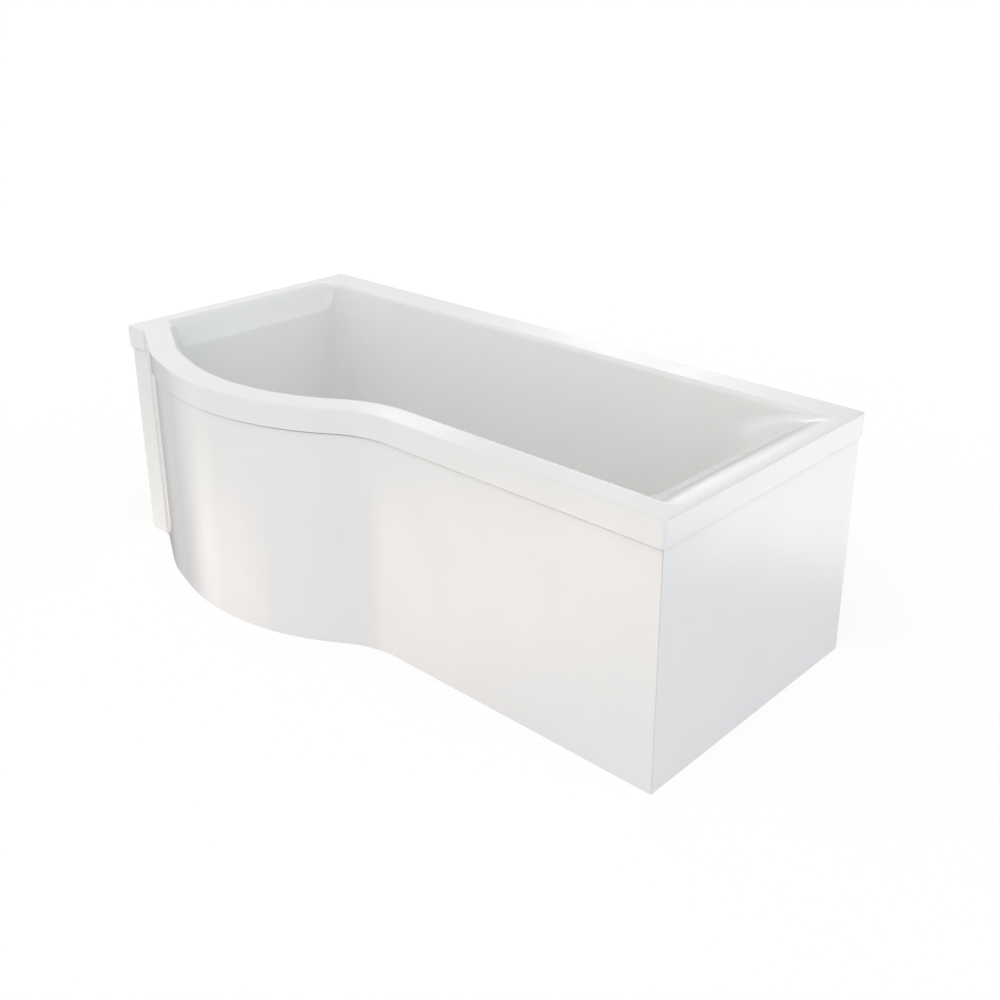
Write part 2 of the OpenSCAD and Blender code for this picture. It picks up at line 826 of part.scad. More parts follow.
module trap() color("white")
    translate([waste.x, waste.y, 0])
        difference() {
            union() {
                translate([0, 0, trap_low_z])
                    cylinder(r = trap_r, h = body_low_z - trap_drop - trap_low_z);
                translate([0, 0, trap_low_z])
                    cylinder(r = trap_tube_r, h = body_low_z - trap_low_z);
                translate([0, 0, drain_z])
                    rotate([0, -90, 0]) {
                        cylinder(r = drain_r, h = drain_len);
                        cylinder(r = collar_r, h = collar_len);
                    }
            }
            translate([0, 0, trap_low_z + 2 * trap_wall])
                cylinder(r = trap_tube_r - trap_wall, h = body_low_z);
            translate([-trap_r, 0, drain_z])
                rotate([0, -90, 0])
                    cylinder(r = drain_r - 2, h = drain_len);
        }

// ---- Overflow ----

face_h = 6;
vents = 6;
vent_r = 4;

// A plate over the hole in the wall, with a bush for the control's spindle and a ring of vents
module overflow_face() color("silver")
    at_overflow()
        difference() {
            union() {
                rotate_extrude()
                    polygon([[0, 0.5], [overflow_r, 0.5], [overflow_r, 3], [overflow_r - 3, face_h],
                        [0, face_h]]);
                translate([0, 0, -8])
                    cylinder(r = 9, h = 12);
            }
            translate([0, 0, -20])
                cylinder(r = guide_r + running_gap, h = 40);
            for (k = [1 : vents])
                rotate([0, 0, 360 * k / vents])
                    translate([overflow_r / 2, 0, -1])
                        cylinder(r = vent_r, h = 20);
        }

knob_r = 28;
knob_h = 14;
knob_lift = 11;
knob_grips = 8;
grip_r = 8;
spindle_back = 14;

// A round control with scalloped grips, which stands off the plate so that water runs in behind it
module overflow_knob() color("silver")
    at_overflow() {
        translate([0, 0, knob_lift])
            difference() {
                rotate_extrude()
                    polygon([[0, 0], [knob_r - 1, 0], [knob_r, 2], [knob_r, knob_h - 3],
                        [knob_r - 3, knob_h], [0, knob_h]]);
                for (k = [1 : knob_grips])
                    rotate([0, 0, 360 * (k + 0.5) / knob_grips])
                        translate([knob_r + grip_r - 3, 0, -1])
                            cylinder(r = grip_r, h = 30);
            }
        translate([0, 0, -spindle_back])
            cylinder(r = guide_r, h = spindle_back + knob_lift + 1);
    }

seal_t = 3;
seal_bore_r = 22;

module overflow_gasket() color("dimgray")
    at_overflow()
        translate([0, 0, -wall_t - seal_t])
            difference() {
                cylinder(r = overflow_r, h = seal_t);
                translate([0, 0, -1])
                    cylinder(r = seal_bore_r, h = seal_t + 2);
            }

body_d = 40;
body_back = 3;
spout_len = 50;
pipe_wall = 2;
pipe_top_z = overflow_z - 27;

// A cup behind the wall, with a spout for the pipe
module overflow_body() color("white")
    difference() {
        union() {
            at_overflow()
                translate([0, 0, -wall_t - seal_t - body_d])
                    cylinder(r = body_r, h = body_d);
            translate([overflow_out.x, overflow_out.y, overflow_z - spout_len - 2])
                cylinder(r = pipe_r + 3, h = spout_len);
        }
        at_overflow()
            translate([0, 0, -wall_t - seal_t - body_d + body_back])
                cylinder(r = seal_bore_r, h = body_d);
        translate([overflow_out.x, overflow_out.y, overflow_z - spout_len - 10])
            cylinder(r = pipe_r - pipe_wall, h = spout_len + 10);
        translate([overflow_out.x, overflow_out.y, overflow_z - spout_len - 10])
            cylinder(r = pipe_r + thread_gap, h = pipe_top_z + 1 - overflow_z + spout_len + 10);
    }

run_len = norm(overflow_out - waste) - inlet_len;
bend_r = 28;

module pipe_section() {
    difference() {
        circle(pipe_r);
        circle(pipe_r - pipe_wall);
    }
}

// A drop behind the tub wall, a bend and a level run into the waste body
module overflow_pipe() color("lightgray")
    translate([overflow_out.x, overflow_out.y, inlet_z])
        rotate([0, 0, join_angle + 180]) {
            translate([0, 0, bend_r])
                linear_extrude(pipe_top_z - inlet_z - bend_r)
                    pipe_section();
            translate([bend_r, 0, bend_r])
                rotate([90, 0, 0])
                    rotate([0, 0, 180])
                        rotate_extrude(angle = 90)
                            translate([bend_r, 0])
                                pipe_section();
            translate([bend_r, 0, 0])
                rotate([0, 90, 0])
                    linear_extrude(run_len - bend_r)
                        pipe_section();
        }

bath_shell();
front_panel();
end_panel();
front_panel_strip();
end_panel_strip();
baseboard();
rim_batten_back();
rim_batten_front();
rim_batten_shower();
rim_batten_rest();
leg_rail_shower();
leg_rail_rest();
middle_foot_bracket();
rail_screws();
lock_nuts();
stud_shower_back();
stud_shower_front();
stud_middle();
stud_rest_back();
stud_rest_front();
pad_shower_back();
pad_shower_front();
pad_middle();
pad_rest_back();
pad_rest_front();
wall_brackets();
bracket_screws();
panel_clips();
floor_batten_front();
floor_batten_end();
floor_block_shower();
waste_flange();
waste_gasket();
waste_body();
waste_nut();
waste_plug();
trap();
overflow_face();
overflow_gasket();
overflow_body();
overflow_pipe();
overflow_knob();
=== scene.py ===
"""Looks of a P shaped shower bath with a curved front panel and a flat end panel."""

import math

import bmesh
import bpy
from mathutils import Matrix, Vector


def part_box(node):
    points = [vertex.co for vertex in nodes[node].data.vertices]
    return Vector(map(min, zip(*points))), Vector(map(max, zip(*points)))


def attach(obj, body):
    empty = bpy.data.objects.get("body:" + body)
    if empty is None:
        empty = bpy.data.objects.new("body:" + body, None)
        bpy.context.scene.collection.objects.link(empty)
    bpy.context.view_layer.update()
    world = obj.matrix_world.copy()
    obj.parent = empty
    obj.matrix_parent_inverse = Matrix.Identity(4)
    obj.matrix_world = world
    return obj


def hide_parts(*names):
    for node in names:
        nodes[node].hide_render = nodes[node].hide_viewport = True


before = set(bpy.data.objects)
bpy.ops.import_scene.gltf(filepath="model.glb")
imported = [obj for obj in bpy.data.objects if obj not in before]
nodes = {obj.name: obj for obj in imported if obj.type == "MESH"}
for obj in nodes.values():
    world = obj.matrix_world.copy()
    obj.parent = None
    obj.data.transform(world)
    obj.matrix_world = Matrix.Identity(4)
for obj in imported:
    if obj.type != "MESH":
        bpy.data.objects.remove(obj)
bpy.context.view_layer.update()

# ---- Camera ----

camera_data = bpy.data.cameras.new("camera")
camera_data.sensor_width = 36
camera_data.lens = 44.464
camera_data.shift_x = -0.011
camera_data.shift_y = -0.0822
camera_data.dof.use_dof = False
camera = bpy.data.objects.new("camera", camera_data)
camera.location = (1.9432, -1.8630, 1.5031)
camera.rotation_euler = (math.radians(90 - 21.218), 0, math.radians(42.604))
bpy.context.scene.collection.objects.link(camera)
bpy.context.scene.camera = camera
bpy.context.scene.view_settings.view_transform = "Standard"

# ---- Sizes, in millimetres, the same as in the part ----

MM = 0.001  # metres in a millimetre
length = 1700
bulge_w = 857
narrow_w = 714
rim_h = 575
crown_x = 520
crown_r = 606
bulge_end_x = 990
shoulder_angle = 15
shoulder_r = 450
short_side_angle = 28
strip_w = 78
skirt_h = 57
edge_r = 4
corner_r = 7
shell_t = 6
tub_depth = 418
deck_back = 75
deck_front = 61
deck_shower = 74
deck_rest = 15
lip_r = 12
top_corner_r = 28
corner_growth = 24
rest_corner_growth = 110
shower_lip_r = 9
rest_lip_r = 175
wall_lean = 6
shower_lean = 6
rest_lean = 24
floor_r = 60
shelf_x = 55
shelf_depth = 60
shelf_r = 46
panel_inset = 6
panel_t = 3
shadow_gap = 3
flange_w = 18
waste_x = 290
waste_y = 410
recess_r = 40
recess_h = 3
waste_hole_r = 26
overflow_depth = 105
overflow_run = 92
overflow_hole_r = 24
drop_back = 26
stud_r = 5
pipe_r = 14
bend_r = 28
inlet_len = 44
inlet_drop = 45

shower_x = -length / 2
rest_x = length / 2
wall_y = bulge_w / 2
front_y = wall_y - narrow_w
crown_y = wall_y - bulge_w
skirt_z = rim_h - skirt_h
panel_h = skirt_z - shadow_gap
floor_z = rim_h - tub_depth
waste = (shower_x + waste_x, wall_y - waste_y)
roll_h = rest_lip_r * (1 - math.sin(math.radians(rest_lean)))
overflow_z = rim_h - overflow_depth
inlet_z = floor_z - inlet_drop


def sin(a):
    return math.sin(math.radians(a))


def cos(a):
    return math.cos(math.radians(a))


def tan(a):
    return math.tan(math.radians(a))


def mix(a, b, t):
    return a + (b - a) * t


def eased(t):
    return t * t * (3 - 2 * t)


def clamped(t):
    return min(max(t, 0), 1)


# ---- Plan outlines: a side is (heading, distance of its line from the origin) ----


def inward(heading):
    return Vector((-sin(heading), cos(heading)))


def side_through(x, y, heading):
    return (heading, inward(heading).dot(Vector((x, y))))


crown_centre = Vector((shower_x + crown_x, crown_y + crown_r))
run_out_angle = 2 * math.degrees(math.atan((bulge_w - narrow_w) / (bulge_end_x - crown_x)))
hollow_r = (bulge_end_x - crown_x) / sin(run_out_angle) - crown_r


def crown_side(heading):
    return (heading, inward(heading).dot(crown_centre) - crown_r)


SHOWER = side_through(shower_x, 0, -90)
STRIP = side_through(0, front_y, 0)
SHORT = side_through(shower_x + strip_w, front_y, -short_side_angle)
SHOULDER = crown_side(-shoulder_angle)
RUN_OUT = crown_side(run_out_angle)
FRONT = side_through(0, front_y, 0)
REST = side_through(rest_x, 0, 90)
WALL = side_through(0, wall_y, 180)
SHOWER_AGAIN = (SHOWER[0] + 360, SHOWER[1])


def moved(side, d):
    return (side[0], side[1] + d)


def meet(a, b):
    n, m = inward(a[0]), inward(b[0])
    det = n.x * m.y - n.y * m.x
    return Vector(((a[1] * m.y - b[1] * n.y) / det, (b[1] * n.x - a[1] * m.x) / det))


def arc(centre, r, start, end, steps, first=0):
    return [centre - r * inward(mix(start, end, k / steps)) for k in range(first, steps + 1)]


def fillet(a, b, r, steps, first=0):
    return arc(meet(moved(a, r), moved(b, r)), r, a[0], b[0], steps, first)


def bridged(first, second, count):
    """Two runs of points, with more points along the straight between them."""
    between = [mix(first[-1], second[0], k / (count + 1)) for k in range(1, count + 1)]
    return first + between + second


CORNER_STEPS = 14
VALLEY_STEPS = 12
CROWN_STEPS = 56
HOLLOW_STEPS = 24
SHORT_POINTS = 4  # more points along the short side, so that the rows round the waste stay round
BACK_POINTS = 28  # and along the back wall
valley_r = 50  # a softer crease than in the part, which moves the face there by 1 mm


def front_arcs(d):
    """The arcs from the flat strip to the straight front, at a distance d from the rim's face."""
    valley = fillet(moved(STRIP, d), moved(SHORT, d), -valley_r - d, VALLEY_STEPS)
    return bridged(valley, bulge_arcs(d), SHORT_POINTS)


def bulge_arcs(d):
    short, shoulder, run_out, front = (moved(s, d) for s in (SHORT, SHOULDER, RUN_OUT, FRONT))
    return (
        fillet(short, shoulder, shoulder_r - d, VALLEY_STEPS)
        + fillet(shoulder, run_out, crown_r - d, CROWN_STEPS)
        + fillet(run_out, front, -hollow_r - d, HOLLOW_STEPS, 1)
    )


# ---- Shelf in the shower end: where each column of the shell crosses it, and its depth there ----

shelf_back_y = wall_y - 104
shelf_front_y = front_y + 92
shelf_edge_r = 9  # rounding at the back end, and how far the slope runs past the front end
shelf_lip_r = 11  # rounding of the ledge's edge
shelf_reach = 15  # how far the soft S starts out on the deck
shelf_end = 16  # how far the slope at the front end starts in on the shelf
shelf_tilt = 18  # degrees that the ledge's edge falls to the tub
full_shelf = 20  # depth from which a column has the ledge's whole tilt and rounding
SHELF_STEPS = 16
LEDGE_STEPS = 9
END_STEPS = 18
COLUMN_GAP = 0.2  # between the rounded edge and the curve


def shelf_columns():
    """(y, depth) from the wall side to the front: a rounded edge, a curve, the ledge and a soft end."""
    edge_r, back = shelf_edge_r, shelf_back_y
    edge_turns, curve_turns = range(0, 85, 14), range(84, -1, -6)
    columns = [(back + edge_r * (1 - sin(a)), edge_r * (1 - cos(a))) for a in edge_turns]
    columns += [
        (back - shelf_r + shelf_r * sin(a) - COLUMN_GAP, shelf_depth - shelf_r + shelf_r * cos(a))
        for a in curve_turns
    ]
    flat_start, flat_end = columns[-1][0], shelf_front_y + shelf_end
    columns += [
        (mix(flat_start, flat_end, k / LEDGE_STEPS), shelf_depth) for k in range(1, LEDGE_STEPS)
    ]
    slope = shelf_end + edge_r
    rises = [k / END_STEPS for k in range(END_STEPS + 1)]
    return columns + [(flat_end - slope * t, shelf_depth * (1 - eased(t))) for t in rises]


SHELF = shelf_columns()
SHELF_FIRST = SHELF[0][0]
SHELF_LAST = SHELF[-1][0]
SHELF_REACH = 110  # depth at which the shelf's columns have joined the plain rows


def wall_at(depth, deck, lip, lean, bottom_r):
    """Distance of a tub wall from the rim's face: a rounded lip, a leaning wall and a rounded foot."""
    lip_end = lip * (1 - sin(lean))
    bottom_start = tub_depth - bottom_r * (1 - sin(lean))
    top_d = deck + lip * cos(lean)
    if depth < lip_end:
        return deck + math.sqrt(max(lip * lip - (lip - depth) ** 2, 0))
    if depth < bottom_start:
        return top_d + (depth - lip_end) * tan(lean)
    low_d = top_d + (bottom_start - lip_end) * tan(lean)
    low = bottom_r * bottom_r - (bottom_r - tub_depth + depth) ** 2
    return low_d + bottom_r * cos(lean) - math.sqrt(max(low, 0))


def long_at(depth):
    return wall_at(depth, deck_front, lip_r, wall_lean, floor_r)


def back_at(depth):
    return wall_at(depth, deck_back, lip_r, wall_lean, floor_r)


def shower_at(depth):
    return wall_at(depth, deck_shower, shower_lip_r, shower_lean, floor_r)


def rest_at(depth):
    return wall_at(depth, deck_rest, rest_lip_r, rest_lean, floor_r)


def corner_at(depth):
    return top_corner_r + corner_growth * depth / tub_depth


def rest_corner_at(depth):
    return top_corner_r + rest_corner_growth * sin(90 * min(depth / roll_h, 1))


def front_turn(depth, d_shower):
    """Centre of the tub's front corner arc at the shower end."""
    corner = corner_at(depth)
    return meet(moved(SHOWER, d_shower + corner), moved(SHORT, long_at(depth) + corner))


def shelf_fade(depth):
    """1 while the columns join the plain rows, and from there down to 0 at the edge of the floor."""
    return 1 - eased(clamped((depth - SHELF_REACH) / (tub_depth - SHELF_REACH - floor_r)))


# The most of a corner's radius that the shower side's columns may cross, at the back and in front
BACK_CROSSING = 0.97
FRONT_CROSSING = 0.8


def shower_ends(depth):
    """Where the shower side's columns start and stop: past the corner arcs while the shelf needs it."""
    fade, corner = shelf_fade(depth), corner_at(depth)
    back = wall_y - back_at(depth) - corner
    front = front_turn(depth, shower_at(depth)).y
    first = mix(back, max(SHELF_FIRST, back), fade)
    last = mix(front, min(SHELF_LAST, front), fade)
    return min(first, back + BACK_CROSSING * corner), max(last, front - FRONT_CROSSING * corner)


def on_shower_end(y, depth, d):
    """The x of the end wall at y, d in from the rim's face, following the corner arcs in plan."""
    corner = corner_at(depth)
    x = shower_x + d
    back = wall_y - back_at(depth) - corner
    front = front_turn(depth, d).y
    over = max(y - back, front - y, 0)
    return x + corner - math.sqrt(max(corner * corner - over * over, 0))


def ledge_share(h):
    return min(h / full_shelf, 1)


def ledge_tilt(h):
    return shelf_tilt * ledge_share(h)


def shelf_wall(h, q):
    """Distance of the end wall q below a ledge at depth h, with the ledge's rounded edge."""
    lean_start = deck_shower + shower_lip_r * cos(shower_lean)
    lip_end = shower_lip_r * (1 - sin(shower_lean))
    r = mix(shower_lip_r, shelf_lip_r, ledge_share(h))
    top = r * cos(ledge_tilt(h))
    r_end = top - r * sin(shower_lean)
    plane = lean_start + (h + max(q, r_end) - lip_end) * tan(shower_lean)
    if q >= r_end:
        return plane
    return plane - r * cos(shower_lean) + math.sqrt(max(r * r - (top - q) ** 2, 0))


SHORT_CORNER = meet(moved(SHORT, long_at(rim_h - overflow_z)), moved(SHOWER, deck_shower))
OVERFLOW_XY = SHORT_CORNER + overflow_run * Vector((cos(short_side_angle), -sin(short_side_angle)))
OVERFLOW_OUT = OVERFLOW_XY - (shell_t + drop_back) * inward(-short_side_angle)
OVERFLOW = (
    Matrix.Translation((OVERFLOW_XY.x, OVERFLOW_XY.y, overflow_z))
    @ Matrix.Rotation(math.radians(-short_side_angle), 4, "Z")
    @ Matrix.Rotation(math.radians(wall_lean - 90), 4, "X")
)


def rim_row(d, z):
    """One row of the shell's points round the rim, d in from its face."""
    r = max(corner_r - d, 1)
    shower, strip, front, rest, wall, again = (
        moved(s, d) for s in (SHOWER, STRIP, FRONT, REST, WALL, SHOWER_AGAIN)
    )
    rest_back = fillet(rest, wall, r, CORNER_STEPS)
    shower_back = fillet(wall, again, r, CORNER_STEPS)[:-1]
    outline = (
        fillet(shower, strip, r, CORNER_STEPS, 1)
        + front_arcs(d)
        + fillet(front, rest, r, CORNER_STEPS)
        + bridged(rest_back, shower_back, BACK_POINTS)
    )
    return [(p.x, p.y, z) for p in outline] + [(shower_x + d, y, z) for y, _ in SHELF]


# The tub's front corner meets both the rim's corner and the rim's crease: where its points are
# shared out between them, as a share of its arc, and the degrees between the two sets
CORNER_SPLIT = 0.65
SPLIT_GAP = 2


def tub_row(depth):
    """One row of the shell's points round the inside of the tub, in the same order as rim_row."""
    d_long, d_shower = long_at(depth), shower_at(depth)
    corner, rest_corner = corner_at(depth), rest_corner_at(depth)
    shower, wall = moved(SHOWER, d_shower), moved(WALL, back_at(depth))
    rest = moved(REST, rest_at(depth))
    turn = front_turn(depth, d_shower)
    first_y, last_y = shower_ends(depth)
    start = -90 + math.degrees(math.asin(clamped((turn.y - last_y) / corner)))
    split = mix(start, -short_side_angle, CORNER_SPLIT)
    back_centre = meet(moved(wall, corner), moved(shower, corner))
    stop = 270 - math.degrees(math.asin(clamped((first_y - back_centre.y) / corner)))
    front_corner = arc(turn, corner, split + SPLIT_GAP, -short_side_angle, VALLEY_STEPS)
    rest_back = fillet(rest, wall, rest_corner, CORNER_STEPS)
    shower_back = arc(back_centre, corner, 180, stop, CORNER_STEPS)[:-1]
    outline = (
        arc(turn, corner, start, split, CORNER_STEPS, 1)
        + bridged(front_corner, bulge_arcs(d_long), SHORT_POINTS)
        + fillet(moved(FRONT, d_long), rest, rest_corner, CORNER_STEPS)
        + bridged(rest_back, shower_back, BACK_POINTS)
    )
    row = [(p.x, p.y, rim_h - depth) for p in outline]
    for y, h in SHELF:
        share = (y - SHELF_LAST) / (SHELF_FIRST - SHELF_LAST)
        column_y = mix(last_y, first_y, share)
        low, d = depth, d_shower
        if depth < SHELF_REACH:
            low = mix(h, SHELF_REACH, depth / SHELF_REACH)
            d = shelf_wall(h, low - h)
        row.append((on_shower_end(column_y, low, d), column_y, rim_h - low))
    return row


def shelf_profile(y, h):
    """The shelf's section at y, a soft S from deck to ledge: (distance from the rim's face, depth)."""
    start = shelf_x - shelf_reach
    edge = on_shower_end(y, h, shelf_wall(h, 0)) - shower_x
    fall = (edge - start) * tan(ledge_tilt(h))
    shares = [k / SHELF_STEPS for k in range(SHELF_STEPS)]
    return [(mix(start, edge, t), h * eased(t) - fall * t * t * (1 - t)) for t in shares]


def deck_rows():
    """Rows from the rim to the tub: straight across the deck, and the shelf's sections where it is."""
    outer, inner = rim_row(edge_r, rim_h), tub_row(0)
    profiles = [shelf_profile(y, h) for y, h in SHELF]
    count = len(profiles[0])
    plain = len(outer) - len(SHELF)
    start = (shelf_x - shelf_reach - edge_r) / (deck_shower - edge_r)
    rows = []
    for k in range(count):
        t = mix(start, 1, k / count)
        row = [tuple(mix(a, b, t) for a, b in zip(outer[i], inner[i])) for i in range(plain)]
        row += [(shower_x + p[k][0], SHELF[i][0], rim_h - p[k][1]) for i, p in enumerate(profiles)]
        rows.append(row)
    return rows


# Depths of the tub's rows, closest where the lips and the floor's edge curve
LIP_DEPTHS = [
    0, 0.2, 0.8, 1.8, 3.2, 5, 7, 9, 10.75, 14, 18, 23, 28, 34, 41, 49, 57, 66, 75, 84, 94, roll_h,
]
WALL_DEPTHS = [110, 116, 135, 165, 200, 240, 280, 320]
FLOOR_STEPS = 14
FLOOR_TURNS = [mix(wall_lean, 90, k / FLOOR_STEPS) for k in range(FLOOR_STEPS + 1)]
FLOOR_DEPTHS = [tub_depth - floor_r * (1 - sin(a)) for a in FLOOR_TURNS]
FLOOR_SHARES = (0.12, 0.4, 0.75)
waste_ring_r = 70
# The edge of the waste's recess: distance out from its radius, and depth
RECESS_EDGE = ((6, 0), (2.5, 0.2), (1, 1.1), (0.3, 2.2), (-1, 2.9), (-3, recess_h))


def floor_rows(outline):
    """From the tub floor's outline to a ring round the waste, down into its recess and to the hole."""
    angles = [math.atan2(p[1] - waste[1], p[0] - waste[0]) for p in outline]

    def ring(r, low):
        return [(waste[0] + r * math.cos(a), waste[1] + r * math.sin(a), floor_z - low) for a in angles]

    outer = ring(waste_ring_r, 0)
    rows = [
        [tuple(mix(a, b, share) for a, b in zip(p, q)) for p, q in zip(outline, outer)]
        for share in FLOOR_SHARES
    ]
    recess = [ring(recess_r + out, low) for out, low in RECESS_EDGE]
    return rows + [outer] + recess + [ring(waste_hole_r, recess_h)]


# ---- Mesh helpers ----


def joined(rows):
    return [p for row in rows for p in row]


def as_object(name, mesh):
    for polygon in mesh.polygons:
        polygon.use_smooth = True
    obj = bpy.data.objects.new(name, mesh)
    bpy.context.scene.collection.objects.link(obj)
    return obj


def mesh_object(name, points, faces):
    mesh = bpy.data.meshes.new(name)
    mesh.from_pydata([Vector(p) * MM for p in points], [], faces)
    mesh.update()
    return as_object(name, mesh)


def grid_faces(rows, closed):
    """Four-sided faces between rows of points, also from each row's end to its start where closed."""
    n = len(rows[0])
    last = n if closed else n - 1
    faces = []
    for k in range(len(rows) - 1):
        for i in range(last):
            j = (i + 1) % n
            faces.append((k * n + i, k * n + j, (k + 1) * n + j, (k + 1) * n + i))
    return faces


def finish_piece(piece, materials, node, body="bath"):
    """Give a new piece its materials and body, in place of a node."""
    for material in materials:
        piece.data.materials.append(material)
    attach(piece, body)
    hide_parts(node)


def solidify(piece, thickness, inner_material):
    modifier = piece.modifiers.new("thickness", "SOLIDIFY")
    modifier.thickness = thickness * MM
    modifier.offset = -1
    modifier.use_quality_normals = True
    modifier.material_offset = inner_material


def apply_modifiers(piece):
    graph = bpy.context.evaluated_depsgraph_get()
    mesh = bpy.data.meshes.new_from_object(piece.evaluated_get(graph))
    piece.modifiers.clear()
    piece.data = mesh


SHEET_CREASE = 50
TURNED_CREASE = 40


def keep_edges(piece, turn):
    """Shade as sharp the edges that turn by more than this many degrees."""
    piece.data.set_sharp_from_angle(angle=math.radians(turn))


def weigh_normals(piece):
    modifier = piece.modifiers.new("normals", "WEIGHTED_NORMAL")
    modifier.keep_sharp = True


def cut_hole(piece, place, r, depth):
    """Cut a round hole through the piece, along the z axis of the place."""
    tool = bmesh.new()
    bmesh.ops.create_cone(
        tool, cap_ends=True, segments=64, radius1=r * MM, radius2=r * MM, depth=depth * MM,
        matrix=Matrix.Scale(MM, 4) @ place @ Matrix.Scale(1 / MM, 4),
    )
    mesh = bpy.data.meshes.new("cutter")
    tool.to_mesh(mesh)
    tool.free()
    cutter = as_object("cutter", mesh)
    modifier = piece.modifiers.new("hole", "BOOLEAN")
    modifier.operation = "DIFFERENCE"
    modifier.object = cutter
    apply_modifiers(piece)
    bpy.data.objects.remove(cutter)


# ---- Materials ----


def add(tree, kind, inputs, **settings):
    """A new shader node, with each input linked to its value, a socket, or set to it, a number."""
    made = tree.nodes.new("ShaderNode" + kind)
    for key, value in settings.items():
        setattr(made, key, value)
    for key, value in inputs.items():
        if isinstance(value, bpy.types.NodeSocket):
            tree.links.new(value, made.inputs[key])
        else:
            made.inputs[key].default_value = value
    return made


def surface(name, colour, roughness, metallic=0.0):
    material = bpy.data.materials.new(name)
    material.use_nodes = True
    tree = material.node_tree
    bsdf = tree.nodes["Principled BSDF"]
    bsdf.inputs["Base Color"].default_value = (*colour, 1)
    bsdf.inputs["Roughness"].default_value = roughness
    bsdf.inputs["Metallic"].default_value = metallic
    return material, tree, bsdf


def stretched(tree, scale):
    coords = add(tree, "TexCoord", {})
    return add(tree, "Mapping", {"Vector": coords.outputs["Object"], "Scale": scale}).outputs[0]


def noise(tree, size, detail=3, scale=(1, 1, 1)):
    """Noise whose features are about size metres across."""
    vector = stretched(tree, scale)
    return add(tree, "TexNoise", {"Vector": vector, "Scale": 1 / size, "Detail": detail}).outputs[0]


def spread(tree, source, low, high, start=0.35, end=0.65):
    inputs = {"Value": source, "From Min": start, "From Max": end, "To Min": low, "To Max": high}
    return add(tree, "MapRange", inputs).outputs[0]


def tint(tree, bsdf, source, first, second, start=0.35, end=0.65):
    share = spread(tree, source, 0, 1, start, end)
    mixed = add(tree, "Mix", {0: share, 6: (*first, 1), 7: (*second, 1)}, data_type="RGBA")
    tree.links.new(mixed.outputs[2], bsdf.inputs["Base Color"])


def relief(tree, bsdf, height, distance):
    """Bump of a height in millimetres, on top of any bump that the surface has."""
    inputs = {"Height": height, "Distance": distance * MM, "Strength": 1}
    if bsdf.inputs["Normal"].links:
        inputs["Normal"] = bsdf.inputs["Normal"].links[0].from_socket
    bump = add(tree, "Bump", inputs)
    tree.links.new(bump.outputs[0], bsdf.inputs["Normal"])


def make_acrylic():
    material, tree, bsdf = surface("acrylic", (0.87, 0.866, 0.858), 0.14)
    cloud = noise(tree, 0.16, 2)
    tint(tree, bsdf, cloud, (0.876, 0.872, 0.865), (0.864, 0.860, 0.851))
    tree.links.new(spread(tree, cloud, 0.11, 0.17), bsdf.inputs["Roughness"])
    relief(tree, bsdf, noise(tree, 0.3, 1), 0.5)
    relief(tree, bsdf, noise(tree, 0.0015, 2), 0.004)
    return material


def make_glass_fibre():
    """The resin and chopped glass strand on the back of the acrylic."""
    material, tree, bsdf = surface("glass_fibre", (0.74, 0.72, 0.65), 0.5)
    vector = stretched(tree, (1, 1, 1))
    strands = add(tree, "TexVoronoi", {"Vector": vector, "Scale": 160}, feature="DISTANCE_TO_EDGE")
    tint(tree, bsdf, noise(tree, 0.03, 4), (0.76, 0.74, 0.67), (0.68, 0.66, 0.58))
    tree.links.new(spread(tree, noise(tree, 0.01), 0.35, 0.65), bsdf.inputs["Roughness"])
    relief(tree, bsdf, noise(tree, 0.012, 4), 1.2)
    relief(tree, bsdf, strands.outputs[0], 0.5)
    return material


def make_chipboard():
    material, tree, bsdf = surface("chipboard", (0.5, 0.37, 0.22), 0.85)
    chips = add(tree, "TexVoronoi", {"Vector": stretched(tree, (1, 1, 2.5)), "Scale": 230})
    grey = add(tree, "RGBToBW", {"Color": chips.outputs["Color"]}).outputs[0]
    tint(tree, bsdf, grey, (0.62, 0.47, 0.29), (0.33, 0.22, 0.12), 0.2, 0.85)
    tree.links.new(spread(tree, noise(tree, 0.02), 0.75, 0.95), bsdf.inputs["Roughness"])
    relief(tree, bsdf, chips.outputs["Distance"], 0.4)
    return material


def make_timber(name, along):
    """Planed softwood with its grain along one axis."""
    material, tree, bsdf = surface(name, (0.65, 0.47, 0.28), 0.6)
    scale = tuple(0.06 if k == along else 1 for k in range(3))
    wander = noise(tree, 0.05, 3, scale)
    rings = {"Scale": 55, "Distortion": 5.0, "Detail": 3, "Detail Scale": 1.5}
    rings["Vector"] = stretched(tree, scale)
    grain = add(tree, "TexWave", rings, bands_direction="DIAGONAL")
    tint(tree, bsdf, grain.outputs["Fac"], (0.70, 0.52, 0.31), (0.50, 0.33, 0.17), 0.1, 0.95)
    tree.links.new(spread(tree, wander, 0.5, 0.75), bsdf.inputs["Roughness"])
    relief(tree, bsdf, noise(tree, 0.0015, 3, scale), 0.15)
    return material


def make_galvanised():
    material, tree, bsdf = surface("galvanised_steel", (0.62, 0.64, 0.65), 0.4, 1.0)
    spangle = add(tree, "TexVoronoi", {"Vector": stretched(tree, (1, 1, 1)), "Scale": 110})
    grey = add(tree, "RGBToBW", {"Color": spangle.outputs["Color"]}).outputs[0]
    tint(tree, bsdf, grey, (0.70, 0.72, 0.73), (0.50, 0.52, 0.54), 0.2, 0.8)
    tree.links.new(spread(tree, grey, 0.28, 0.5, 0.2, 0.8), bsdf.inputs["Roughness"])
    relief(tree, bsdf, noise(tree, 0.004), 0.05)
    return material


